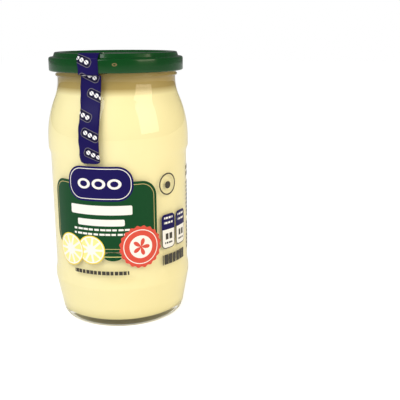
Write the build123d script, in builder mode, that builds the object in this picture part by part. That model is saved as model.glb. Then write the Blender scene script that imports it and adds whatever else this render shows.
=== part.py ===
from build123d import *
from math import acos, atan2, cos, degrees, radians, sin
import os

# Mayonnaise jar: a glass jar with a recessed label panel, its contents, a twist-off
# lid, a wrap-round label and a tamper strip from the lid down onto the shoulder.
# Millimetres, +Z up, origin at the middle of the base. The label's front faces -Y.

# ---------------------------------------------------------------- driving dimensions

# glass jar, outside
panel_radius = 36.0         # recessed band that carries the label
lower_band_radius = 36.6    # below the panel
upper_band_radius = 37.0    # above the panel, the jar's widest part
neck_radius = 30.6
panel_bottom = 28.6
panel_height = 60.4
ledge_height = 3.2          # slope between the panel and each band
upper_band_height = 4.0     # straight part of the upper band
foot_radius = 32.6          # where the heel's wall would meet the table
heel_height = 22.0          # tapered wall from the foot to the lower band
heel_round = 6.0
shoulder_round = 54.7       # convex turn of the shoulder
neck_round = 25.0           # hollow turn from the shoulder to the neck
band_round = 2.5            # softens the corners of both bands

# glass jar, neck and rim
bead_radius = 31.6          # ring below the lid
bead_height = 1.6
bead_rise = 1.2             # straight neck under the bead
finish_radius = 31.0        # straight part that the lid covers
finish_height = 10.1        # from the bead to the rim
rim_round = 0.9

# glass jar, inside
wall = 2.6
floor_thickness = 3.8
inner_heel_round = 9.0
push_up = 1.4               # hollow under the base
push_up_radius = 24.0

# contents
headspace = 8.0             # from the contents to the rim
contents_clearance = 0.05

# lid
lid_radius = 34.7
lid_wall = 0.4
skirt_height = 7.0          # from the skirt's lower edge to the shoulder
tier_height = 2.3           # raised ring above the shoulder
tier_radius = 31.6
tier_slope = 0.8
recess_radius = 27.2
recess_depth = 1.0
lid_shoulder_round = 1.3
lid_round = 0.6
curl_depth = 1.9            # rolled lower edge
curl_height = 1.5
curl_round = 0.8

# label
label_thickness = 0.1
label_margin = 1.2          # bare panel above and below the label
film_clearance = 0.02

# tamper strip
strip_width = 11.6
strip_thickness = 0.2
strip_angle = -6.0          # from the label's front, seen from above
strip_on_lid = 18.0         # length on top, from the lid's edge
strip_overlap = 1.0         # length on the panel's top
strip_corner = 2.0
strip_fold = 0.6            # rounding where it folds over an edge
strip_drop = 0.35           # below the skirt's edge, where it turns in to the neck
strip_span = 2.4            # of the recess, from the raised ring down to the lid's middle
strip_clearance = 0.08
strip_trim = 1.0            # cut off past each end, with the corners

# -------------------------------------------------------------------- worked-out sizes

panel_top = panel_bottom + panel_height
upper_band_top = panel_top + ledge_height + upper_band_height


def shoulder_turn(drop):
    """Angle of the two shoulder arcs that together step in by drop."""
    return acos(1 - drop / (shoulder_round + neck_round))


outer_turn = shoulder_turn(upper_band_radius - neck_radius)
neck_bottom = upper_band_top + (shoulder_round + neck_round) * sin(outer_turn)
bead_bottom = neck_bottom + bead_rise
bead_top = bead_bottom + bead_height
rim_top = bead_top + finish_height

bore_radius = neck_radius - wall
cavity_radius = panel_radius - wall
inner_turn = shoulder_turn(cavity_radius - bore_radius)
inner_shoulder_bottom = neck_bottom - (shoulder_round + neck_round) * sin(inner_turn)
fill_level = rim_top - headspace

lid_top = rim_top + lid_wall
lid_middle = lid_top - recess_depth
lid_shoulder = lid_top - tier_height
skirt_bottom = lid_shoulder - skirt_height

label_radius = panel_radius + film_clearance
label_height = panel_height - 2 * label_margin

strip_bottom = panel_top - strip_overlap
strip_end = lid_radius - strip_on_lid
strip_rise = bead_bottom - upper_band_top
strip_turn = 2 * atan2(upper_band_radius - bead_radius, strip_rise)


def shoulder_arcs(radius, height, turn, hollow, gap):
    """Shoulder and neck hollow from radius at height, drawn gap outside the glass."""
    convex = JernArc(start=(radius + gap, height), tangent=(0, 1),
                     radius=shoulder_round + gap, arc_size=degrees(turn))
    return JernArc(start=convex @ 1, tangent=convex % 1,
                   radius=hollow - gap, arc_size=-degrees(turn))


def cavity_outline(gap, top):
    """Right half of the cavity, gap inside the glass, from its floor up to top."""
    side = FilletPolyline(
        (0, floor_thickness + gap),
        (foot_radius - wall - gap, floor_thickness + gap),
        (cavity_radius - gap, heel_height),
        (cavity_radius - gap, inner_shoulder_bottom),
        radius=inner_heel_round,
    )
    neck = shoulder_arcs(
        cavity_radius, inner_shoulder_bottom, inner_turn, neck_round, -gap
    )
    Polyline(neck @ 1, (bore_radius - gap, top), (0, top), side @ 0)


# ------------------------------------------------------------------------- glass jar

with BuildPart() as glass_jar:
    with BuildSketch(Plane.XZ):
        with BuildLine():
            hollow = ThreePointArc(
                (0, push_up),
                (push_up_radius / 2, push_up * 0.75),
                (push_up_radius, 0),
            )
            body = FilletPolyline(
                hollow @ 1,
                (foot_radius, 0),
                (lower_band_radius, heel_height),
                (lower_band_radius, panel_bottom - ledge_height),
                (panel_radius, panel_bottom),
                (panel_radius, panel_top),
                (upper_band_radius, panel_top + ledge_height),
                (upper_band_radius, upper_band_top),
                radius=[heel_round] + [band_round] * 5,
            )
            shoulder = shoulder_arcs(
                upper_band_radius, upper_band_top, outer_turn, neck_round, 0
            )
            Polyline(
                shoulder @ 1,
                (neck_radius, bead_bottom),
                (bead_radius, bead_bottom + bead_height / 4),
                (bead_radius, bead_top - bead_height / 4),
                (finish_radius, bead_top),
                (finish_radius, rim_top),
                (0, rim_top),
                hollow @ 0,
            )
        make_face()
    revolve(axis=Axis.Z)
    with BuildSketch(Plane.XZ):
        with BuildLine():
            cavity_outline(0, rim_top)
        make_face()
    revolve(axis=Axis.Z, mode=Mode.SUBTRACT)
    rim_edges = glass_jar.edges().group_by(Axis.Z)[-1].filter_by(GeomType.CIRCLE)
    fillet(rim_edges, radius=rim_round)
glass_jar.part.label = "glass_jar"

# -------------------------------------------------------------------------- contents

with BuildPart() as mayonnaise:
    with BuildSketch(Plane.XZ):
        with BuildLine():
            cavity_outline(contents_clearance, fill_level)
        make_face()
    revolve(axis=Axis.Z)
mayonnaise.part.label = "mayonnaise"

# ------------------------------------------------------------------------------- lid

with BuildPart() as lid:
    with BuildSketch(Plane.XZ):
        with BuildLine():
            FilletPolyline(
                (0, lid_middle),
                (recess_radius, lid_middle),
                (recess_radius + tier_slope, lid_top),
                (tier_radius, lid_top),
                (tier_radius + tier_slope, lid_shoulder),
                (lid_radius, lid_shoulder),
                (lid_radius, skirt_bottom),
                (lid_radius - curl_depth, skirt_bottom),
                (lid_radius - curl_depth, skirt_bottom + curl_height),
                radius=[lid_round] * 4 + [lid_shoulder_round, curl_round, curl_round],
            )
            offset(amount=lid_wall, side=Side.RIGHT)
        make_face()
    revolve(axis=Axis.Z)
lid.part.label = "lid"

# ----------------------------------------------------------------------------- label

with BuildPart() as label_film:
    with BuildSketch(Plane.XZ):
        with Locations((label_radius, panel_bottom + label_margin)):
            Rectangle(label_thickness, label_height, align=Align.MIN)
    revolve(axis=Axis.Z)
label_film.part.label = "label_film"

# ----------------------------------------------------------------------- tamper strip

strip_direction = radians(strip_angle - 90)
outward = (cos(strip_direction), sin(strip_direction), 0)
sideways = (-sin(strip_direction), cos(strip_direction), 0)
strip_plane = Plane(origin=(0, 0, 0), x_dir=sideways, z_dir=outward)
strip_top = lid_top + 2 * strip_thickness
strip_turned = degrees(2 * atan2(strip_width, strip_end))
profile_direction = strip_direction - radians(strip_turned / 2)
profile_plane = Plane(
    origin=(0, 0, 0),
    x_dir=(cos(profile_direction), sin(profile_direction), 0),
    z_dir=(sin(profile_direction), -cos(profile_direction), 0),
)



def shoulder_point(share, gap):
    """Point gap outside the glass, that share of the strip's way up the convex shoulder."""
    turn = strip_turn * share
    reach = shoulder_round + gap
    return (
        upper_band_radius - shoulder_round + reach * cos(turn),
        upper_band_top + reach * sin(turn),
    )


def strip_line(gap):
    """Strip's line gap outside the glass and the lid, from the panel up: its two ends."""
    on_band = FilletPolyline(
        (panel_radius + gap, strip_bottom - strip_trim),
        (panel_radius + gap, panel_top),
        (upper_band_radius + gap, panel_top + ledge_height),
        (upper_band_radius + gap, upper_band_top),
        radius=band_round,
    )
    on_shoulder = Spline(
        on_band @ 1,
        *[shoulder_point(step / 4, gap) for step in (1, 2, 3, 4)],
        (bead_radius + gap, bead_bottom),
        tangents=[(0, 1), (0, 1)],
    )
    on_lid = FilletPolyline(
        on_shoulder @ 1,
        (bead_radius + gap, bead_top - gap),
        (lid_radius + gap, skirt_bottom - strip_drop - gap),
        (lid_radius + gap, lid_shoulder + gap),
        (tier_radius + tier_slope / 2 + gap / 2, lid_top + gap),
        (recess_radius + tier_slope / 2 - gap / 2, lid_top + gap),
        (recess_radius - strip_span, lid_middle + gap),
        (strip_end - strip_trim, lid_middle + gap),
        radius=strip_fold,
    )
    return on_band @ 0, on_lid @ 1


with BuildPart() as seal_strip:
    with BuildSketch(profile_plane):
        with BuildLine():
            inner_ends = strip_line(strip_clearance)
            outer_ends = strip_line(strip_clearance + strip_thickness)
            Line(inner_ends[0], outer_ends[0])
            Line(inner_ends[1], outer_ends[1])
        make_face()
    revolve(axis=Axis.Z, revolution_arc=strip_turned)
    with BuildSketch(strip_plane.offset(strip_end)):
        with BuildLine():
            corners = FilletPolyline(
                (-strip_width / 2, strip_top),
                (-strip_width / 2, strip_bottom),
                (strip_width / 2, strip_bottom),
                (strip_width / 2, strip_top),
                radius=strip_corner,
            )
            Line(corners @ 1, corners @ 0)
        make_face()
    extrude(amount=upper_band_radius + strip_trim - strip_end, mode=Mode.INTERSECT)
seal_strip.part.label = "seal_strip"

# ---------------------------------------------------------------------------- output

os.makedirs("parts", exist_ok=True)
for piece in (glass_jar, mayonnaise, lid, label_film, seal_strip):
    export_step(piece.part, f"parts/{piece.part.label}.step")
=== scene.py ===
"""Mayonnaise jar: the looks of a filled glass jar, its lid, label print and tamper strip."""

import logging
import math
from dataclasses import dataclass, field, replace
from enum import Enum
from typing import Callable, Sequence

import bmesh
import bpy
from mathutils import Matrix, Vector

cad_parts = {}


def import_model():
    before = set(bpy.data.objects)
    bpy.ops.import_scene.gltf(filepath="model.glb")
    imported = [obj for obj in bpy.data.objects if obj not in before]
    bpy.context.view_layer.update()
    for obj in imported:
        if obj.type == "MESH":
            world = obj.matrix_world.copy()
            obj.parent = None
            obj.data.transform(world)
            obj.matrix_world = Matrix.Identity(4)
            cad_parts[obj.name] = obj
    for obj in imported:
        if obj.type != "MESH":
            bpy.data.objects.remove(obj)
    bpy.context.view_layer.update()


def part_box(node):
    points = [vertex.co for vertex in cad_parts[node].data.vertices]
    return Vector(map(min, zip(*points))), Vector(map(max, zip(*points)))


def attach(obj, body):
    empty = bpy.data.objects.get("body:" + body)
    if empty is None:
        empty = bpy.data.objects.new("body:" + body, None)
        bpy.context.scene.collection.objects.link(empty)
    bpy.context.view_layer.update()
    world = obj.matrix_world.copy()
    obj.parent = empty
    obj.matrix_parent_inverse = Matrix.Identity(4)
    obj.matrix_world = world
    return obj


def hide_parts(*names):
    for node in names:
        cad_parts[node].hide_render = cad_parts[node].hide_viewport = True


LOG = logging.getLogger("jar")
MM = 0.001
Profile = list[tuple[float, float]]
Colour = tuple[float, float, float]


class Op(Enum):
    """Operations of Blender's Math node that the finishes use."""

    ADD = "ADD"
    SUBTRACT = "SUBTRACT"
    MULTIPLY = "MULTIPLY"
    DIVIDE = "DIVIDE"
    MAXIMUM = "MAXIMUM"
    MINIMUM = "MINIMUM"
    LESS_THAN = "LESS_THAN"
    GREATER_THAN = "GREATER_THAN"
    ABSOLUTE = "ABSOLUTE"
    SQRT = "SQRT"
    COSINE = "COSINE"
    SINE = "SINE"
    ARCTAN2 = "ARCTAN2"
    FRACT = "FRACT"
    FLOOR = "FLOOR"


class Tree:
    """One node tree under construction, in a material or a geometry group."""

    def __init__(self, tree: bpy.types.NodeTree) -> None:
        """Keep the tree that nodes are added to.

        Args:
            tree: The tree to build in.
        """
        self.tree = tree

    def node(
        self, kind: str, settings: dict | None = None, inputs: dict | None = None
    ) -> bpy.types.Node:
        """Add one node.

        Args:
            kind: The node's type.
            settings: Properties, set before the sockets.
            inputs: Values, wrapped values or sockets by socket name or index.

        Returns:
            The new node.
        """
        made = self.tree.nodes.new(kind)
        for name, value in (settings or {}).items():
            setattr(made, name, value)
        for name, value in (inputs or {}).items():
            socket = made.inputs[name]
            if isinstance(value, Value):
                value = value.socket
            if isinstance(value, bpy.types.NodeSocket):
                self.tree.links.new(value, socket)
            else:
                socket.default_value = value
        return made

    def value(self, socket: bpy.types.NodeSocket) -> "Value":
        """Wrap a socket of this tree for arithmetic.

        Args:
            socket: The socket to wrap.

        Returns:
            The wrapped value.
        """
        return Value(self, socket)

    def math(self, operation: Op, *terms: "Value | float") -> "Value":
        """Add a Math node over the terms and return its result.

        Args:
            operation: The operation.
            terms: Its terms, wrapped values or numbers.

        Returns:
            The result as a wrapped value.
        """
        made = self.node("ShaderNodeMath", {"operation": operation.value}, dict(enumerate(terms)))
        return Value(self, made.outputs[0])

    def mix(self, share: "Value | float", low: object, high: object) -> bpy.types.NodeSocket:
        """Blend two colours by share and return the colour socket.

        Args:
            share: Weight of the second colour, 0 to 1.
            low: Colour at share 0.
            high: Colour at share 1.

        Returns:
            The colour socket.
        """
        made = self.node("ShaderNodeMix", {"data_type": "RGBA"}, {0: share, 6: low, 7: high})
        return made.outputs[2]


def unary(operation: Op) -> Callable[["Value"], "Value"]:
    """Make a method that adds a one-term Math node.

    Args:
        operation: The node's operation.

    Returns:
        The method.
    """
    return lambda self: self.tree.math(operation, self)


def binary(operation: Op, flipped: bool = False) -> Callable[["Value", "Value | float"], "Value"]:
    """Make a method that adds a two-term Math node.

    Args:
        operation: The node's operation.
        flipped: True to put the other term first.

    Returns:
        The method.
    """
    if flipped:
        return lambda self, other: self.tree.math(operation, other, self)
    return lambda self, other: self.tree.math(operation, self, other)


class Value:
    """A number in a node tree, with arithmetic that adds Math nodes; masks are one or zero."""

    __add__ = __radd__ = binary(Op.ADD)
    __sub__ = binary(Op.SUBTRACT)
    __rsub__ = binary(Op.SUBTRACT, flipped=True)
    __mul__ = __rmul__ = binary(Op.MULTIPLY)
    __truediv__ = binary(Op.DIVIDE)
    __lt__ = binary(Op.LESS_THAN)
    __gt__ = binary(Op.GREATER_THAN)
    __abs__ = unary(Op.ABSOLUTE)
    most = binary(Op.MAXIMUM)
    least = binary(Op.MINIMUM)
    root = unary(Op.SQRT)
    fract = unary(Op.FRACT)

    def __init__(self, tree: Tree, socket: bpy.types.NodeSocket) -> None:
        """Keep the tree and the socket that carries the number.

        Args:
            tree: The tree to build in.
            socket: The socket to wrap.
        """
        self.tree = tree
        self.socket = socket


# ---------------------------------------------------------------------------- finishes


def new_material(name: str) -> tuple[bpy.types.Material, Tree, bpy.types.Node]:
    """Start a node material.

    Args:
        name: Its name.

    Returns:
        The material, its tree and its output node.
    """
    material = bpy.data.materials.new(name)
    material.use_nodes = True
    material.node_tree.nodes.clear()
    tree = Tree(material.node_tree)
    return material, tree, tree.node("ShaderNodeOutputMaterial")


def object_place(tree: Tree) -> tuple[Value, Value, Value]:
    """Read the object coordinates.

    Args:
        tree: The material's tree.

    Returns:
        The x, y and z coordinate in metres.
    """
    place = tree.node("ShaderNodeTexCoord").outputs["Object"]
    axes = tree.node("ShaderNodeSeparateXYZ", None, {0: place})
    x, y, z = (tree.value(axes.outputs[i]) for i in range(3))
    return x, y, z


def noise(tree: Tree, scale: float, detail: float = 3.0) -> Value:
    """Soft noise on object coordinates.

    Args:
        tree: The material's tree.
        scale: Cells per metre.
        detail: Octaves.

    Returns:
        The noise, from 0 to 1.
    """
    place = tree.node("ShaderNodeTexCoord").outputs["Object"]
    made = tree.node("ShaderNodeTexNoise", None, {"Vector": place, "Scale": scale, "Detail": detail})
    return tree.value(made.outputs["Fac"])


def bump(tree: Tree, height: Value, strength: float, distance: float) -> bpy.types.NodeSocket:
    """Bump from a height.

    Args:
        tree: The material's tree.
        height: The relief.
        strength: Share of the relief that is used.
        distance: Its depth in metres.

    Returns:
        The normal socket.
    """
    made = tree.node("ShaderNodeBump", None, {"Height": height, "Strength": strength, "Distance": distance})
    return made.outputs["Normal"]


@dataclass(frozen=True)
class GlassFinish:
    """Clear jar glass with faint waves, which lets the lamps through."""

    tint: Colour = (0.975, 0.975, 0.925)
    index: float = 1.47
    wave_scale: float = 60.0
    wave_depth: float = 0.0002
    wave_strength: float = 0.15
    roughness: float = 0.015
    roughness_spread: float = 0.02

    def make(self) -> bpy.types.Material:
        """Build the material.

        Returns:
            The material.
        """
        material, tree, out = new_material("clear_glass")
        waves = noise(tree, self.wave_scale, 1.0)
        body = tree.node("ShaderNodeBsdfPrincipled", None, {
            "Base Color": (*self.tint, 1.0),
            "Roughness": self.roughness + waves * self.roughness_spread,
            "IOR": self.index,
            "Transmission Weight": 1.0,
            "Normal": bump(tree, waves, self.wave_strength, self.wave_depth),
        })
        clear = tree.node("ShaderNodeBsdfTransparent", None, {"Color": (*self.tint, 1.0)})
        path = tree.node("ShaderNodeLightPath")
        shadow = tree.value(path.outputs["Is Shadow Ray"])
        passing = shadow.most(tree.value(path.outputs["Is Diffuse Ray"]))
        mixed = tree.node("ShaderNodeMixShader", None, {
            0: passing, 1: body.outputs[0], 2: clear.outputs[0],
        })
        tree.tree.links.new(mixed.outputs[0], out.inputs["Surface"])
        return material


@dataclass(frozen=True)
class MayonnaiseFinish:
    """Pale yellow emulsion, pressed smooth against the glass, with painted shade that darkens it to mustard
    towards the neck under the lid.
    """

    light: Colour = (0.93, 0.845, 0.50)
    deep: Colour = (0.90, 0.79, 0.41)
    # Colour of the painted shade that the lid casts on the neck.
    painted_shade: Colour = (0.33, 0.22, 0.035)
    cloud_scale: float = 28.0
    painted_shade_start: float = 0.1205
    painted_shade_depth: float = 0.0038
    painted_shade_unevenness: float = 0.3
    painted_shade_share: float = 0.9
    grain_scale: float = 900.0
    grain_strength: float = 0.12
    grain_depth: float = 0.0001
    roughness: float = 0.42
    roughness_spread: float = 0.12

    def make(self) -> bpy.types.Material:
        """Build the material.

        Returns:
            The material.
        """
        material, tree, out = new_material("mayonnaise")
        clouds = noise(tree, self.cloud_scale, 4.0)
        fine = noise(tree, self.grain_scale, 2.0)
        height = object_place(tree)[2]
        # Painted shade: the cream turns mustard towards the neck, where the lid shades it.
        depth = (height - self.painted_shade_start) / self.painted_shade_depth
        painted_shade_mask = (depth + clouds * self.painted_shade_unevenness).most(0.0).least(1.0)
        cream = tree.mix(clouds, (*self.light, 1.0), (*self.deep, 1.0))
        body = tree.node("ShaderNodeBsdfPrincipled", None, {
            "Base Color": tree.mix(painted_shade_mask * self.painted_shade_share, cream, (*self.painted_shade, 1.0)),
            "Roughness": self.roughness + fine * self.roughness_spread,
            "Normal": bump(tree, fine, self.grain_strength, self.grain_depth),
        })
        tree.tree.links.new(body.outputs[0], out.inputs["Surface"])
        return material


@dataclass(frozen=True)
class LacquerFinish:
    """Glossy green lacquer over tinplate, with one small brown ring mark on the skirt."""

    colour: Colour = (0.0015, 0.062, 0.009)
    worn: Colour = (0.0015, 0.043, 0.007)
    ring_mark: Colour = (0.26, 0.17, 0.08)
    ring_mark_place: tuple[float, float, float] = (0.0095, -0.0334, 0.1357)
    ring_mark_size: tuple[float, float] = (0.0011, 0.0007)
    ring_mark_radius: float = 0.8
    ring_mark_half: float = 0.28
    ring_mark_share: float = 0.75
    cloud_scale: float = 45.0
    peel_scale: float = 420.0
    peel_strength: float = 0.08
    peel_depth: float = 0.0002
    roughness: float = 0.17
    roughness_spread: float = 0.08
    coat: float = 0.3
    coat_spread: float = 0.1

    def make(self) -> bpy.types.Material:
        """Build the material.

        Returns:
            The material.
        """
        material, tree, out = new_material("green_lacquer")
        clouds = noise(tree, self.cloud_scale, 3.0)
        peel = noise(tree, self.peel_scale, 1.0)
        x, y, z = object_place(tree)
        # A small brown ring drawn on the front of the skirt.
        across = (x - self.ring_mark_place[0]) / self.ring_mark_size[0]
        up = (z - self.ring_mark_place[2]) / self.ring_mark_size[1]
        away = (across * across + up * up).root()
        at_front = y < self.ring_mark_place[1] / 2
        ring = (abs(away - self.ring_mark_radius) < self.ring_mark_half) * at_front
        base = tree.mix(clouds, (*self.colour, 1.0), (*self.worn, 1.0))
        body = tree.node("ShaderNodeBsdfPrincipled", None, {
            "Base Color": tree.mix(ring * self.ring_mark_share, base, (*self.ring_mark, 1.0)),
            "Roughness": self.roughness + clouds * self.roughness_spread,
            "Specular IOR Level": 0.2,
            "Coat Weight": self.coat + clouds * self.coat_spread,
            "Coat Roughness": 0.06,
            "Normal": bump(tree, peel, self.peel_strength, self.peel_depth),
        })
        tree.tree.links.new(body.outputs[0], out.inputs["Surface"])
        return material


@dataclass(frozen=True)
class Box:
    """A rounded box of print: its middle, half sizes and corner radius in millimetres."""

    x: float
    y: float
    half_x: float
    half_y: float
    corner: float


@dataclass(frozen=True)
class Disc:
    """A disc or oval of print: its middle, radius in millimetres and sideways stretch."""

    x: float
    y: float
    radius: float
    stretch: float = 1.0


@dataclass(frozen=True)
class Block:
    """Rows of dashes that stand for small type: lengths in millimetres, weight a share of pitch."""

    x: float
    top: float
    width: float
    count: int
    pitch: float
    weight: float
    word: float


class Print:
    """Ink on a clear film, drawn as flat shapes in millimetres of label surface."""

    def __init__(self, tree: Tree, across: Value, up: Value, ground: Colour) -> None:
        """Start bare.

        Args:
            tree: The material's tree.
            across: Millimetres to the right of the print's middle line.
            up: Millimetres up.
            ground: The colour where nothing is printed.
        """
        self.tree = tree
        self.across = across
        self.up = up
        self.colour: object = (*ground, 1.0)
        self.cover: Value | float = 0.0

    def box(self, shape: Box) -> Value:
        """Measure how far the print's points lie outside a rounded box.

        Args:
            shape: The shape, in millimetres.

        Returns:
            The distance, below zero inside.
        """
        over_x = abs(self.across - shape.x) - (shape.half_x - shape.corner)
        over_y = abs(self.up - shape.y) - (shape.half_y - shape.corner)
        out_x, out_y = over_x.most(0.0), over_y.most(0.0)
        outside = (out_x * out_x + out_y * out_y).root()
        return outside + over_x.most(over_y).least(0.0) - shape.corner

    def disc(self, shape: Disc) -> Value:
        """Measure how far the print's points lie outside a disc or oval.

        Args:
            shape: The shape, in millimetres.

        Returns:
            The distance, below zero inside.
        """
        dx = (self.across - shape.x) / shape.stretch
        dy = self.up - shape.y
        return (dx * dx + dy * dy).root() - shape.radius

    def ink(self, mask: Value, colour: Colour) -> None:
        """Lay a colour where mask is one.

        Args:
            mask: One where the ink lies, else zero.
            colour: The ink's colour.
        """
        self.colour = self.tree.mix(mask, self.colour, (*colour, 1.0))
        self.cover = mask if isinstance(self.cover, float) else self.cover.most(mask)

    def turned(self, shape: Disc) -> Value:
        """Measure the angle of the print's points about a disc's middle, in radians.

        Args:
            shape: The shape, in millimetres.

        Returns:
            The angle.
        """
        return self.tree.math(Op.ARCTAN2, self.up - shape.y, self.across - shape.x)

    def rows(self, block: Block, colour: Colour) -> None:
        """Lay rows of short dashes that stand for small type.

        Args:
            block: The rows' place and rhythm.
            colour: The ink's colour.
        """
        height = block.count * block.pitch
        middle = (block.x + block.width / 2, block.top - height / 2)
        inside = self.box(Box(*middle, block.width / 2, height / 2, 0.01)) < 0.0
        down = (block.top - self.up) / block.pitch
        row = self.tree.math(Op.FLOOR, down)
        uneven = self.tree.math(Op.SINE, row * 12.9) * 0.5
        place = self.across / block.word + uneven
        dash = place.fract() < 0.80 + self.tree.math(Op.SINE, place * 1.7) * 0.08
        self.ink(inside * (down.fract() < block.weight) * dash, colour)


@dataclass(frozen=True)
class LabelFinish:
    """Printed clear film: green field, blue plaque, red rosette, lemons and small type."""

    radius_mm: float = 36.1
    green: Colour = (0.005, 0.060, 0.017)
    blue: Colour = (0.008, 0.004, 0.085)
    red: Colour = (0.68, 0.085, 0.055)
    gold: Colour = (0.62, 0.48, 0.20)
    white: Colour = (0.88, 0.86, 0.80)
    peel: Colour = (0.88, 0.66, 0.06)
    flesh: Colour = (0.93, 0.82, 0.30)
    dark: Colour = (0.06, 0.055, 0.045)
    clear: Colour = (0.93, 0.845, 0.50)

    green_field: Box = Box(0.0, 61.0, 29.6, 18.0, 8.0)
    field_line: tuple[float, float] = (1.5, 0.14)
    plaque_box: Box = Box(0.0, 78.0, 17.5, 8.8, 8.0)
    plaque_line: tuple[float, float] = (1.2, 0.18)
    plaque_ring: Disc = Disc(0.0, 78.0, 2.6, 1.35)
    ring_hole: float = 1.5
    ring_pitch: float = 8.0
    bars: tuple[Box, ...] = (Box(0.0, 64.6, 16.5, 2.4, 0.8), Box(0.0, 58.2, 12.5, 1.7, 0.8))
    thin_type: Block = Block(-15.0, 55.0, 30.0, 2, 2.4, 0.42, 3.1)
    wheels: tuple[tuple[Disc, int], ...] = ((Disc(-5.5, 43.6, 7.6), 9), (Disc(-18.5, 42.4, 8.6), 10))
    pith: float = 0.55
    flesh_inset: float = 1.2
    flesh_start: float = 0.9
    leaf: Disc = Disc(6.0, 40.4, 2.2, 2.1)
    leaf_vein: float = 0.16
    seal: Disc = Disc(20.5, 45.0, 10.9)
    seal_scallops: float = 20.0
    seal_scallop_depth: float = 0.35
    seal_line: tuple[float, float] = (8.9, 0.22)
    seal_hole: float = 6.0
    petal_turns: float = 2.5
    petal_length: float = 4.6
    foot_type: Block = Block(-16.0, 32.6, 30.0, 1, 2.2, 0.9, 2.2)
    mark: Disc = Disc(37.2, 75.5, 5.4)
    mark_half: float = 0.35
    mark_dot: Disc = Disc(37.2, 75.0, 1.9)
    tab_lefts: tuple[float, ...] = (32.6, 43.4)
    tab_box: Box = Box(4.7, 50.5, 4.7, 9.2, 2.4)
    tab_outline: float = 0.45
    tab_split: float = 51.5
    tab_head_type: Block = Block(1.6, 58.2, 6.2, 2, 2.6, 0.4, 2.2)
    tab_type: tuple[Block, ...] = (
        Block(2.0, 49.4, 5.4, 1, 3.6, 0.9, 2.7),
        Block(2.0, 44.8, 5.4, 1, 1.6, 0.6, 1.7),
    )
    back_type: tuple[Block, ...] = (
        Block(33.0, 38.0, 18.5, 1, 5.4, 0.99, 3.1),
        Block(58.6, 81.2, 33.0, 2, 3.4, 0.62, 3.6),
        Block(58.6, 72.4, 40.3, 9, 2.25, 0.5, 2.6),
        Block(58.6, 50.0, 40.3, 7, 2.25, 0.5, 2.6),
    )
    roughness: float = 0.30
    roughness_spread: float = 0.1
    specular: float = 0.12
    speckle_scale: float = 700.0
    speckle_strength: float = 0.05
    speckle_depth: float = 0.0001

    def lay_field(self, art: Print) -> None:
        """Lay the green field and the plaque over it.

        Args:
            art: The print to add to.
        """
        panel = art.box(self.green_field)
        art.ink(panel < 0.0, self.green)
        art.ink(abs(panel + self.field_line[0]) < self.field_line[1], self.gold)
        plaque = art.box(self.plaque_box)
        art.ink(plaque < 0.0, self.blue)
        art.ink(abs(plaque + self.plaque_line[0]) < self.plaque_line[1], self.white)
        for step in (-1, 0, 1):
            ring = replace(self.plaque_ring, x=step * self.ring_pitch)
            art.ink(art.disc(ring) < 0.0, self.white)
            art.ink(art.disc(replace(ring, radius=self.ring_hole)) < 0.0, self.blue)
        for bar in self.bars:
            art.ink(art.box(bar) < 0.0, self.white)
        art.rows(self.thin_type, self.white)

    def lay_wheel(self, art: Print, wheel: Disc, lobes: int) -> None:
        """Lay one cut lemon wheel.

        Args:
            art: The print to add to.
            wheel: The wheel's place and radius.
            lobes: Number of flesh segments.
        """
        away = art.disc(replace(wheel, radius=0.0))
        art.ink(art.disc(wheel) < 0.0, self.peel)
        art.ink(art.disc(replace(wheel, radius=wheel.radius - self.pith)) < 0.0, self.white)
        turn = art.tree.math(Op.SINE, art.turned(wheel) * (lobes / 2))
        spokes = abs(turn) * away > 0.55 * lobes / 2
        inside = (away < wheel.radius - self.flesh_inset) * (away > self.flesh_start)
        art.ink(spokes * inside, self.flesh)

    def lay_leaf(self, art: Print) -> None:
        """Lay the leaf with its vein.

        Args:
            art: The print to add to.
        """
        leaf = art.disc(self.leaf) < 0.0
        art.ink(leaf, self.green)
        art.ink(leaf * (abs(art.up - self.leaf.y) < self.leaf_vein), self.flesh)

    def lay_seal(self, art: Print) -> None:
        """Lay the scalloped rosette with its flower.

        Args:
            art: The print to add to.
        """
        turn = art.turned(self.seal)
        scallop = art.tree.math(Op.COSINE, turn * self.seal_scallops) * self.seal_scallop_depth
        art.ink(art.disc(self.seal) + scallop < 0.0, self.red)
        reach, half = self.seal_line
        art.ink(abs(art.disc(replace(self.seal, radius=reach))) < half, self.white)
        art.ink(art.disc(replace(self.seal, radius=self.seal_hole)) < 0.0, self.white)
        petal = abs(art.tree.math(Op.COSINE, turn * self.petal_turns)) * self.petal_length
        art.ink(art.disc(replace(self.seal, radius=0.0)) - petal < 0.0, self.red)

    def lay_side(self, art: Print) -> None:
        """Lay the ring mark, the two tabs and the type to their right.

        Args:
            art: The print to add to.
        """
        art.rows(self.foot_type, self.dark)
        art.ink(abs(art.disc(self.mark)) < self.mark_half, self.dark)
        art.ink(art.disc(self.mark_dot) < 0.0, self.dark)
        for left in self.tab_lefts:
            tab = art.box(replace(self.tab_box, x=left + self.tab_box.x))
            art.ink(tab < 0.0, self.dark)
            art.ink(tab < -self.tab_outline, self.white)
            art.ink((tab < 0.0) * (art.up > self.tab_split), self.blue)
            head = self.tab_head_type
            art.rows(replace(head, x=left + head.x), self.white)
            for block in self.tab_type:
                art.rows(replace(block, x=left + block.x), self.dark)
        for block in self.back_type:
            art.rows(block, self.dark)

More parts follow.
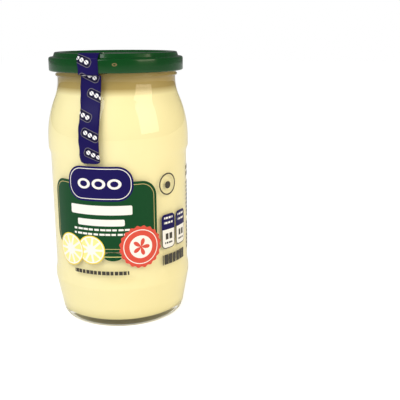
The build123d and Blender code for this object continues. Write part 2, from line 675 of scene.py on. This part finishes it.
    def make(self) -> bpy.types.Material:
        """Build the material.

        Returns:
            The material.
        """
        material, tree, out = new_material("label_film")
        x, y, z = object_place(tree)
        across = tree.math(Op.ARCTAN2, x, 0.0 - y) * self.radius_mm
        art = Print(tree, across, z / MM, self.clear)
        self.lay_field(art)
        for wheel, lobes in self.wheels:
            self.lay_wheel(art, wheel, lobes)
        self.lay_leaf(art)
        self.lay_seal(art)
        self.lay_side(art)
        speckle = noise(tree, self.speckle_scale, 2.0)
        body = tree.node("ShaderNodeBsdfPrincipled", None, {
            "Base Color": art.colour,
            "Roughness": self.roughness + speckle * self.roughness_spread,
            "Specular IOR Level": self.specular,
            "Normal": bump(tree, speckle, self.speckle_strength, self.speckle_depth),
        })
        bare = tree.node("ShaderNodeBsdfTransparent")
        shown = tree.node("ShaderNodeMixShader", None, {
            0: art.cover, 1: bare.outputs[0], 2: body.outputs[0],
        })
        tree.tree.links.new(shown.outputs[0], out.inputs["Surface"])
        return material


@dataclass(frozen=True)
class StripFinish:
    """Dark blue tamper film with staggered outlined leaf marks."""

    blue: Colour = (0.007, 0.003, 0.078)
    outline: Colour = (0.16, 0.15, 0.17)
    patch: Colour = (0.008, 0.006, 0.035)
    white: Colour = (0.86, 0.86, 0.88)
    pitch_mm: float = 9.6
    tilt: float = math.radians(-24.0)
    stagger: tuple[float, float, float] = (3.6, 2.2, 0.7)
    lozenge: Box = Box(0.0, 0.0, 4.9, 2.2, 1.7)
    outline_half: float = 0.14
    leaf: Disc = Disc(0.0, 0.0, 1.05, 1.05)
    leaf_pitch: float = 2.7
    vein_slope: float = 0.6
    vein_half: float = 0.16
    roughness: float = 0.36
    roughness_spread: float = 0.12
    specular: float = 0.12
    crease_scale: float = 260.0
    crease_strength: float = 0.3
    crease_depth: float = 0.0003

    def make(self) -> bpy.types.Material:
        """Build the material.

        Returns:
            The material.
        """
        material, tree, out = new_material("strip_film")
        place = tree.node("ShaderNodeUVMap", {"uv_map": "strip"}).outputs[0]
        axes = tree.node("ShaderNodeSeparateXYZ", None, {0: place})
        across, along = tree.value(axes.outputs[0]), tree.value(axes.outputs[1])
        row = tree.math(Op.FLOOR, along / self.pitch_mm)
        reach, turn, start = self.stagger
        shift = tree.math(Op.SINE, row * turn + start) * reach
        local_x = across - shift
        local_y = (along / self.pitch_mm).fract() * self.pitch_mm - self.pitch_mm / 2
        cosine, sine = math.cos(self.tilt), math.sin(self.tilt)
        along_mark = local_x * cosine + local_y * sine
        up_mark = local_y * cosine - local_x * sine
        art = Print(tree, along_mark, up_mark, self.blue)
        lozenge = art.box(self.lozenge)
        art.ink(lozenge < 0.0, self.patch)
        art.ink(abs(lozenge) < self.outline_half, self.outline)
        for step in (-1, 0, 1):
            middle = step * self.leaf_pitch
            leaf = art.disc(replace(self.leaf, x=middle))
            vein = abs(art.up + (art.across - middle) * self.vein_slope)
            art.ink((leaf < 0.0) * (vein > self.vein_half), self.white)
        creases = noise(tree, self.crease_scale, 2.0)
        body = tree.node("ShaderNodeBsdfPrincipled", None, {
            "Base Color": art.colour,
            "Roughness": self.roughness + creases * self.roughness_spread,
            "Specular IOR Level": self.specular,
            "Normal": bump(tree, creases, self.crease_strength, self.crease_depth),
        })
        tree.tree.links.new(body.outputs[0], out.inputs["Surface"])
        return material


# ---------------------------------------------------------------------------- outlines


def arc(cx: float, cy: float, radius: float, start: float, end: float, steps: int) -> Profile:
    """Points along an arc, in degrees from +r towards +z.

    Args:
        cx: The middle's radius from the jar's axis.
        cy: The middle's height.
        radius: The arc's radius.
        start: First angle.
        end: Last angle.
        steps: Number of spans.

    Returns:
        The points, in order.
    """
    angles = [math.radians(start + (end - start) * i / steps) for i in range(steps + 1)]
    return [(cx + radius * math.cos(a), cy + radius * math.sin(a)) for a in angles]


def rounded(points: Sequence[tuple[float, float]], radii: Sequence[float], steps: int = 6) -> Profile:
    """Round the inner corners of an open outline.

    Args:
        points: The corners, ends included.
        radii: One radius for each inner corner.
        steps: Spans in each rounding.

    Returns:
        The outline's points.
    """
    made: Profile = [tuple(points[0])]
    for before, corner, after, radius in zip(points, points[1:], points[2:], radii):
        b, c, a = Vector(before), Vector(corner), Vector(after)
        to_b, to_a = (b - c).normalized(), (a - c).normalized()
        half = to_b.angle(to_a) / 2
        reach = min(radius / math.tan(half), (b - c).length / 2, (a - c).length / 2)
        for i in range(steps + 1):
            t = i / steps
            start, end = c + to_b * reach, c + to_a * reach
            spot = start * (1 - t) ** 2 + c * 2 * t * (1 - t) + end * t ** 2
            made.append((spot.x, spot.y))
    made.append(tuple(points[-1]))
    return made


# ------------------------------------------------------------------------ lathe by rule


def lathe_group() -> bpy.types.NodeTree:
    """Build the Geometry Nodes tree that turns an outline round the jar's axis.

    Returns:
        The tree, with inputs Outline Points, Segments and Finish.
    """
    group = bpy.data.node_groups.new("lathe", "GeometryNodeTree")
    face = group.interface
    face.new_socket("Geometry", in_out="INPUT", socket_type="NodeSocketGeometry")
    face.new_socket("Outline Points", in_out="INPUT", socket_type="NodeSocketInt")
    face.new_socket("Segments", in_out="INPUT", socket_type="NodeSocketInt")
    face.new_socket("Finish", in_out="INPUT", socket_type="NodeSocketMaterial")
    face.new_socket("Geometry", in_out="OUTPUT", socket_type="NodeSocketGeometry")
    tree = Tree(group)
    given = tree.node("NodeGroupInput").outputs
    count, segments = tree.value(given["Outline Points"]), tree.value(given["Segments"])
    grid = tree.node("GeometryNodeMeshGrid", None, {
        "Vertices X": segments + 1.0, "Vertices Y": count,
    })
    index = tree.value(tree.node("GeometryNodeInputIndex").outputs[0])
    step = tree.math(Op.FLOOR, (index + 0.5) / count)
    spot = index - step * count
    sample = tree.node("GeometryNodeSampleIndex", {"data_type": "FLOAT_VECTOR", "domain": "POINT"}, {
        "Geometry": given["Geometry"],
        "Value": tree.node("GeometryNodeInputPosition").outputs[0],
        "Index": spot,
    })
    axes = tree.node("ShaderNodeSeparateXYZ", None, {0: sample.outputs[0]})
    reach, height = tree.value(axes.outputs[0]), tree.value(axes.outputs[2])
    turn = step / segments * math.tau
    place = tree.node("ShaderNodeCombineXYZ", None, {
        0: reach * tree.math(Op.COSINE, turn), 1: reach * tree.math(Op.SINE, turn), 2: height,
    })
    moved = tree.node("GeometryNodeSetPosition", None, {
        "Geometry": grid.outputs["Mesh"], "Position": place.outputs[0],
    })
    merged = tree.node("GeometryNodeMergeByDistance", None, {
        "Geometry": moved.outputs[0], "Distance": 1e-6,
    })
    real = tree.node("GeometryNodeRealizeInstances", None, {0: merged.outputs[0]})
    dressed = tree.node("GeometryNodeSetMaterial", None, {
        "Geometry": real.outputs[0], "Material": given["Finish"],
    })
    result = tree.node("NodeGroupOutput")
    group.links.new(dressed.outputs[0], result.inputs[0])
    return group


def close_up(mesh: bpy.types.Mesh, sharp: float) -> None:
    """Drop flat faces at the poles, point faces outwards and smooth them up to an angle.

    Args:
        mesh: The mesh, changed in place.
        sharp: Edges turned by more than this many degrees stay sharp.
    """
    work = bmesh.new()
    work.from_mesh(mesh)
    bmesh.ops.remove_doubles(work, verts=work.verts, dist=1e-7)
    bmesh.ops.dissolve_degenerate(work, dist=1e-8, edges=work.edges)
    bmesh.ops.recalc_face_normals(work, faces=work.faces)
    work.to_mesh(mesh)
    work.free()
    mesh.polygons.foreach_set("use_smooth", [True] * len(mesh.polygons))
    mesh.set_sharp_from_angle(angle=math.radians(sharp))
    mesh.update()


@dataclass
class Lathe:
    """Turns outlines in millimetres into round pieces."""

    segments: int = 192
    sharp: float = 40.0
    group: bpy.types.NodeTree = field(default_factory=lathe_group)

    def turn(
        self, name: str, outline: Profile, finish: bpy.types.Material, closed: bool
    ) -> bpy.types.Object:
        """Make one piece.

        Args:
            name: The piece's name.
            outline: Its points, radius and height in millimetres.
            finish: Its material.
            closed: True if the outline ends where it starts.

        Returns:
            The piece, a plain mesh at the origin.
        """
        points = outline + outline[:1] if closed else outline
        flat = bpy.data.meshes.new(name + "_outline")
        flat.from_pydata([(r * MM, 0.0, z * MM) for r, z in points], [], [])
        source = bpy.data.objects.new(name + "_outline", flat)
        bpy.context.collection.objects.link(source)
        modifier = source.modifiers.new("lathe", "NODES")
        modifier.node_group = self.group
        values = {"Outline Points": len(points), "Segments": self.segments, "Finish": finish}
        for socket in self.group.interface.items_tree:
            if socket.in_out == "INPUT" and socket.name in values:
                modifier[socket.identifier] = values[socket.name]
        seen = source.evaluated_get(bpy.context.evaluated_depsgraph_get())
        mesh = bpy.data.meshes.new_from_object(seen)
        source.modifiers.remove(modifier)
        bpy.data.objects.remove(source)
        mesh.name = name
        close_up(mesh, self.sharp)
        piece = bpy.data.objects.new(name, mesh)
        bpy.context.collection.objects.link(piece)
        return piece


# ------------------------------------------------------------------------------- pieces


def seat(piece: bpy.types.Object, node: str) -> None:
    """Let a piece stand for a CAD node on the root body and report it.

    Args:
        piece: The piece.
        node: The CAD node that it stands for.
    """
    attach(piece, "root")
    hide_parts(node)
    LOG.info("%s: %d faces", piece.name, len(piece.data.polygons))


@dataclass
class Jar:
    """The glass jar and its contents, in millimetres."""

    panel_radius: float = 36.0
    lower_radius: float = 36.6
    upper_radius: float = 37.0
    neck_radius: float = 30.6
    foot_radius: float = 32.6
    heel_height: float = 22.0
    panel_bottom: float = 28.6
    panel_top: float = 89.0
    ledge: float = 3.2
    band: float = 4.0
    shoulder_round: float = 54.7
    neck_round: float = 25.0
    bead_radius: float = 31.6
    bead_rise: float = 1.2
    bead_height: float = 1.6
    finish_radius: float = 31.0
    rim_round: float = 0.9
    wall: float = 2.6
    floor: float = 3.8
    into_wall: float = 0.35
    level_edge: float = 0.6
    push_up: float = 1.4
    push_up_radius: float = 24.0
    steps: int = 14

    def shoulder(self, radius: float, neck: float, neck_bottom: float) -> Profile:
        """Points of the shoulder's two arcs from radius in to neck, ending at neck_bottom.

        Args:
            radius: The radius at the bottom.
            neck: The radius at the top.
            neck_bottom: The height at which the neck's radius is reached.

        Returns:
            The points, from the bottom up.
        """
        both = self.shoulder_round + self.neck_round
        turn = math.degrees(math.acos(1 - (radius - neck) / both))
        start = neck_bottom - both * math.sin(math.radians(turn))
        first = arc(radius - self.shoulder_round, start, self.shoulder_round, 0, turn, self.steps)
        second = arc(neck + self.neck_round, neck_bottom, self.neck_round, 180 + turn, 180, self.steps)
        return first + second[1:]

    def neck_bottom(self) -> float:
        """Height at which the outside reaches the neck.

        Returns:
            The height in millimetres.
        """
        both = self.shoulder_round + self.neck_round
        turn = math.acos(1 - (self.upper_radius - self.neck_radius) / both)
        return self.panel_top + self.ledge + self.band + both * math.sin(turn)

    def outside(self, rim: float) -> Profile:
        """Outline of the outside, from the base's middle to the rim's outer edge.

        Args:
            rim: Height of the rim.

        Returns:
            The points, from the base's middle up to the bore.
        """
        start = self.neck_bottom()
        bead = start + self.bead_rise
        under = [(self.push_up_radius * i / 6, self.push_up * (1 - (i / 6) ** 2)) for i in range(6)]
        body = rounded(
            [
                (self.push_up_radius, 0.0),
                (self.foot_radius, 0.0),
                (self.lower_radius, self.heel_height),
                (self.lower_radius, self.panel_bottom - self.ledge),
                (self.panel_radius, self.panel_bottom),
                (self.panel_radius, self.panel_top),
                (self.upper_radius, self.panel_top + self.ledge),
                (self.upper_radius, self.panel_top + self.ledge + self.band / 2),
            ],
            [7.0, 4.0, 2.5, 2.5, 2.5, 2.5],
        )
        neck = self.shoulder(self.upper_radius, self.neck_radius, start)
        finish = rounded(
            [
                neck[-1],
                (self.neck_radius, bead),
                (self.bead_radius, bead + self.bead_height / 4),
                (self.bead_radius, bead + self.bead_height * 3 / 4),
                (self.finish_radius, bead + self.bead_height),
                (self.finish_radius, rim),
                (self.neck_radius - self.wall, rim),
                (self.neck_radius - self.wall, rim - 4.0),
            ],
            [0.4, 0.4, 0.4, 0.4, self.rim_round, self.rim_round],
        )
        return under + body + neck + finish[1:]

    def cavity(self, gap: float) -> Profile:
        """Outline of the cavity from its floor up to the neck's bore, widened by gap.

        Args:
            gap: How far outside the cavity's wall the outline runs.

        Returns:
            The points, from the floor's middle up.
        """
        inner = self.panel_radius - self.wall + gap
        bore = self.neck_radius - self.wall + gap
        upper = self.shoulder(inner, bore, self.neck_bottom())
        lower = rounded(
            [
                (0.0, self.floor - gap),
                (self.foot_radius - self.wall + gap, self.floor - gap),
                (inner, self.heel_height),
                (inner, upper[0][1] - 4.0),
            ],
            [9.0, 9.0],
            self.steps,
        )
        return lower + upper

    def make(self, lathe: Lathe) -> None:
        """Build the glass and the contents.

        Args:
            lathe: What turns outlines into pieces.
        """
        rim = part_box("glass_jar")[1].z / MM
        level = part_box("mayonnaise")[1].z / MM
        walls = self.outside(rim) + self.cavity(0.0)[::-1]
        seat(lathe.turn("jar_glass", walls, GlassFinish().make(), False), "glass_jar")
        fill = self.cavity(self.into_wall)
        side, edge = fill[-1][0], self.level_edge
        fill += [(side, level - edge), (side - edge, level), (0.0, level)]
        contents = lathe.turn("mayonnaise_fill", fill, MayonnaiseFinish().make(), False)
        seat(contents, "mayonnaise")


@dataclass
class Lid:
    """The twist-off lid, in millimetres."""

    radius: float = 34.7
    wall: float = 0.4
    recess_radius: float = 27.2
    recess: float = 1.0
    tier_radius: float = 31.6
    tier_height: float = 2.3
    slope: float = 0.8
    curl: tuple[float, float] = (1.9, 1.5)

    def make(self, lathe: Lathe) -> None:
        """Build the lid.

        Args:
            lathe: What turns outlines into pieces.
        """
        low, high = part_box("lid")
        bottom, top = low.z / MM, high.z / MM
        shelf = top - self.tier_height
        corners = [
            (0.0, top - self.recess),
            (self.recess_radius, top - self.recess),
            (self.recess_radius + self.slope, top),
            (self.tier_radius, top),
            (self.tier_radius + self.slope, shelf),
            (self.radius, shelf),
            (self.radius, bottom),
            (self.radius - self.curl[0], bottom),
            (self.radius - self.curl[0], bottom + self.curl[1]),
        ]
        outer = rounded(corners, [0.6, 0.6, 0.6, 0.6, 1.3, 0.8, 0.8])
        wall = self.wall
        inner_corners = [
            (self.radius - self.curl[0] + wall, bottom + self.curl[1]),
            (self.radius - self.curl[0] + wall, bottom + wall),
            (self.radius - wall, bottom + wall),
            (self.radius - wall, shelf - wall),
            (self.tier_radius + self.slope - wall, shelf - wall),
            (self.tier_radius - wall, top - wall),
            (self.recess_radius + self.slope + wall, top - wall),
            (self.recess_radius + wall, top - self.recess - wall),
            (0.0, top - self.recess - wall),
        ]
        inner = rounded(inner_corners, [0.3, 0.4, 0.9, 0.3, 0.3, 0.3, 0.6])
        piece = lathe.turn("lid_tinplate", outer + inner, LacquerFinish().make(), False)
        seat(piece, "lid")


@dataclass
class Label:
    """The printed film round the panel."""

    thickness: float = 0.1

    def make(self, lathe: Lathe) -> None:
        """Build the film.

        Args:
            lathe: What turns outlines into pieces.
        """
        low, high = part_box("label_film")
        reach = high.x / MM
        outline = [
            (reach - self.thickness, low.z / MM),
            (reach, low.z / MM),
            (reach, high.z / MM),
            (reach - self.thickness, high.z / MM),
        ]
        piece = lathe.turn("label_print", outline, LabelFinish().make(), True)
        seat(piece, "label_film")


@dataclass
class Strip:
    """The tamper strip from the lid's middle down to the label."""

    width: float = 10.7
    thickness: float = 0.16
    direction: float = math.radians(-96.0)
    across_steps: int = 12
    lift: float = 0.1
    corner: float = 2.0
    span: float = 1.5
    on_lid: float = 18.0
    fold: float = 0.6
    drop_run: float = 2.4
    wrap_top: float = 140.0
    skirt_clearance: float = 0.4
    left_waves: tuple[tuple[float, float, float], ...] = ((0.22, 0.31, 0.0), (0.12, 0.93, 1.0))
    right_waves: tuple[tuple[float, float, float], ...] = ((0.10, 0.27, 2.0),)
    jar: Jar = field(default_factory=Jar)
    lid: Lid = field(default_factory=Lid)

    def line(self) -> Profile:
        """The strip's own line, from its end on the panel up over the lid.

        Returns:
            The points, radius and height in millimetres.
        """
        low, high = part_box("lid")
        bottom, top = low.z / MM, high.z / MM
        jar, lid, lift = self.jar, self.lid, self.lift
        bead = jar.neck_bottom() + jar.bead_rise
        band_top = jar.panel_top + jar.ledge + jar.band
        rise = bead - band_top
        turn = 2 * math.atan2(jar.upper_radius - jar.bead_radius, rise)
        hollow = rise / math.sin(turn) - jar.shoulder_round
        panel = rounded(
            [
                (jar.panel_radius + lift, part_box("seal_strip")[0].z / MM),
                (jar.panel_radius + lift, jar.panel_top),
                (jar.upper_radius + lift, jar.panel_top + jar.ledge),
                (jar.upper_radius + lift, band_top - 0.5),
            ],
            [2.5, 2.5],
        )
        degrees = math.degrees(turn)
        outer = jar.upper_radius - jar.shoulder_round + lift
        convex = arc(outer, band_top, jar.shoulder_round, 0, degrees, 12)
        concave = arc(jar.bead_radius + hollow + lift, bead, hollow, 180 + degrees, 180, 10)
        over = rounded(
            [
                concave[-1],
                (jar.bead_radius + lift, bead + jar.bead_height),
                (lid.radius + lift, bottom - self.skirt_clearance),
                (lid.radius + lift, top - lid.tier_height + lift),
                (lid.tier_radius + lid.slope / 2, top + lift),
                (lid.recess_radius + lid.slope / 2, top + lift),
                (lid.recess_radius - self.drop_run, top - lid.recess + lift),
                (lid.radius - self.on_lid, top - lid.recess + lift),
            ],
            [self.fold] * 6,
        )
        return panel + convex + concave[1:] + over[1:]

    def fine(self) -> Profile:
        """The line with long spans divided, so that the print and the edges stay smooth.

        Returns:
            The points, radius and height in millimetres.
        """
        made: Profile = []
        line = self.line()
        for (r0, z0), (r1, z1) in zip(line, line[1:]):
            count = max(1, math.ceil(math.hypot(r1 - r0, z1 - z0) / self.span))
            shares = [i / count for i in range(count)]
            made += [(r0 + (r1 - r0) * share, z0 + (z1 - z0) * share) for share in shares]
        return made + line[-1:]

    def edges(self, along: float, length: float) -> tuple[float, float]:
        """Find the strip's left and right edge at one place along it.

        Args:
            along: Distance from the strip's lower end.
            length: The strip's whole length.

        Returns:
            The two edges' distances from the strip's middle line.
        """
        corner, half = self.corner, self.width / 2
        end = min(along, length - along)
        trim = 0.0
        if end < corner:
            trim = corner - math.sqrt(max(0.0, corner ** 2 - (corner - end) ** 2))
        left = sum(size * math.sin(along * rate + start) for size, rate, start in self.left_waves)
        right = sum(size * math.sin(along * rate + start) for size, rate, start in self.right_waves)
        return left + trim - half, right + half - trim

    def make(self) -> None:
        """Build the strip, with its edges slightly uneven and its corners rounded."""
        line = self.fine()
        run = [0.0]
        for (r0, z0), (r1, z1) in zip(line, line[1:]):
            run.append(run[-1] + math.hypot(r1 - r0, z1 - z0))
        points: list[tuple[float, float, float]] = []
        marks: list[tuple[float, float]] = []
        for (reach, height), along in zip(line, run):
            left, right = self.edges(along, run[-1])
            for i in range(self.across_steps + 1):
                side = left + (right - left) * i / self.across_steps
                wraps = height < self.wrap_top
                depth = math.sqrt(max(reach ** 2 - side ** 2, 0.0)) if wraps else reach
                points.append((side, depth, height))
                marks.append((side, along))
        turned = Matrix.Rotation(self.direction, 3, "Z")
        placed = [turned @ Vector((depth, side, height)) * MM for side, depth, height in points]
        columns = self.across_steps + 1
        faces = [
            (r * columns + c, r * columns + c + 1, (r + 1) * columns + c + 1, (r + 1) * columns + c)
            for r in range(len(line) - 1) for c in range(self.across_steps)
        ]
        mesh = bpy.data.meshes.new("tamper_strip")
        mesh.from_pydata(placed, [], faces)
        layer = mesh.uv_layers.new(name="strip")
        for loop in mesh.loops:
            layer.data[loop.index].uv = marks[loop.vertex_index]
        mesh.materials.append(StripFinish().make())
        mesh.polygons.foreach_set("use_smooth", [True] * len(mesh.polygons))
        piece = bpy.data.objects.new("tamper_strip", mesh)
        bpy.context.collection.objects.link(piece)
        wall = piece.modifiers.new("thickness", "SOLIDIFY")
        wall.thickness = self.thickness * MM
        wall.offset = 1.0
        seat(piece, "seal_strip")


# ------------------------------------------------------------------------------- studio


@dataclass(frozen=True)
class Lamp:
    """One soft rectangular lamp: place and size in metres, power in watts."""

    name: str
    place: tuple[float, float, float]
    size: tuple[float, float]
    power: float
    colour: Colour = (1.0, 1.0, 1.0)
    aim: tuple[float, float, float] = (0.0, 0.0, 0.08)

    def make(self) -> None:
        """Add the lamp, turned towards its aim."""
        data = bpy.data.lights.new(self.name, "AREA")
        data.color = self.colour
        data.shape, data.energy = "RECTANGLE", self.power
        data.size, data.size_y = self.size
        lamp = bpy.data.objects.new(self.name, data)
        lamp.location = self.place
        way = Vector(self.aim) - Vector(self.place)
        lamp.rotation_euler = way.to_track_quat("-Z", "Y").to_euler()
        bpy.context.collection.objects.link(lamp)


@dataclass
class Studio:
    """Floor, lamps, world and camera."""

    distance: float = 0.3680
    azimuth: float = math.radians(17.5)
    height: float = 0.1519
    heading: float = math.radians(-10.74)
    pitch: float = math.radians(13.98)
    roll: float = math.radians(0.29)
    lens: float = 61.8
    floor_half: float = 3.0
    ambient: float = 0.55
    mirrored: float = 0.16
    floor_glow: float = 1.62
    floor_glow_share: float = 0.45
    floor_colour: Colour = (0.90, 0.90, 0.90)
    white: Colour = (1.0, 1.0, 1.0)
    lamps: tuple[Lamp, ...] = (
        Lamp("key", (-0.45, -0.75, 0.75), (0.7, 0.7), 7.0),
        Lamp("fill", (0.9, -0.35, 0.45), (0.6, 0.6), 4.4, (1.0, 0.88, 0.66)),
    )

    def camera(self) -> None:
        """Place the camera."""
        data = bpy.data.cameras.new("camera")
        data.lens, data.sensor_width = self.lens, 36.0
        data.clip_start = 0.01
        cam = bpy.data.objects.new("camera", data)
        bpy.context.collection.objects.link(cam)
        sy, cy = math.sin(self.heading), math.cos(self.heading)
        sp, cp = math.sin(self.pitch), math.cos(self.pitch)
        forward = Vector((sy * cp, cy * cp, -sp))
        right = Vector((cy, -sy, 0.0))
        down = forward.cross(right)
        sr, cr = math.sin(self.roll), math.cos(self.roll)
        x_axis = right * cr + down * sr
        y_axis = right * sr - down * cr
        turned = Matrix((x_axis, y_axis, -forward)).transposed().to_4x4()
        aside = self.distance * math.sin(self.azimuth)
        back = self.distance * math.cos(self.azimuth)
        place = Vector((aside, -back, self.height))
        cam.matrix_world = Matrix.Translation(place) @ turned
        bpy.context.scene.camera = cam

    def world(self) -> None:
        """Light the scene evenly and show white behind it."""
        world = bpy.data.worlds.new("world")
        world.use_nodes = True
        world.node_tree.nodes.clear()
        tree = Tree(world.node_tree)
        path = tree.node("ShaderNodeLightPath").outputs
        seen = tree.value(path["Is Camera Ray"]).most(tree.value(path["Is Transmission Ray"]))
        mirrored = tree.value(path["Is Glossy Ray"]) * (1.0 - seen)
        plain = self.ambient - mirrored * (self.ambient - self.mirrored)
        strength = seen + plain * (1.0 - seen)
        back = tree.node("ShaderNodeBackground", None, {
            "Color": (*self.white, 1.0), "Strength": strength,
        })
        out = tree.node("ShaderNodeOutputWorld")
        tree.tree.links.new(back.outputs[0], out.inputs["Surface"])
        bpy.context.scene.world = world

    def floor(self) -> None:
        """Lay a white floor that keeps the soft shadow."""
        half = self.floor_half
        mesh = bpy.data.meshes.new("floor")
        corners = [(-half, -half, 0.0), (half, -half, 0.0), (half, half, 0.0), (-half, half, 0.0)]
        mesh.from_pydata(corners, [], [(0, 1, 2, 3)])
        material, tree, out = new_material("floor")
        matte = tree.node("ShaderNodeBsdfDiffuse", None, {"Color": (*self.floor_colour, 1.0)})
        glow = tree.node("ShaderNodeEmission", None, {
            "Color": (*self.white, 1.0), "Strength": self.floor_glow,
        })
        path = tree.node("ShaderNodeLightPath").outputs
        seen = tree.value(path["Is Camera Ray"]).most(tree.value(path["Is Transmission Ray"]))
        mixed = tree.node("ShaderNodeMixShader", None, {
            0: seen * self.floor_glow_share, 1: matte.outputs[0], 2: glow.outputs[0],
        })
        tree.tree.links.new(mixed.outputs[0], out.inputs["Surface"])
        mesh.materials.append(material)
        floor = bpy.data.objects.new("floor", mesh)
        bpy.context.collection.objects.link(floor)

    def make(self) -> None:
        """Set up the whole studio."""
        self.camera()
        self.world()
        self.floor()
        for lamp in self.lamps:
            lamp.make()
        bpy.context.scene.view_settings.view_transform = "Standard"


def main() -> None:
    """Build the studio and every piece."""
    logging.basicConfig(level=logging.INFO, format="%(name)s %(message)s")
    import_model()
    Studio().make()
    lathe = Lathe()
    Jar().make(lathe)
    Lid().make(lathe)
    Label().make(lathe)
    Strip().make()


if __name__ == "__main__":
    main()
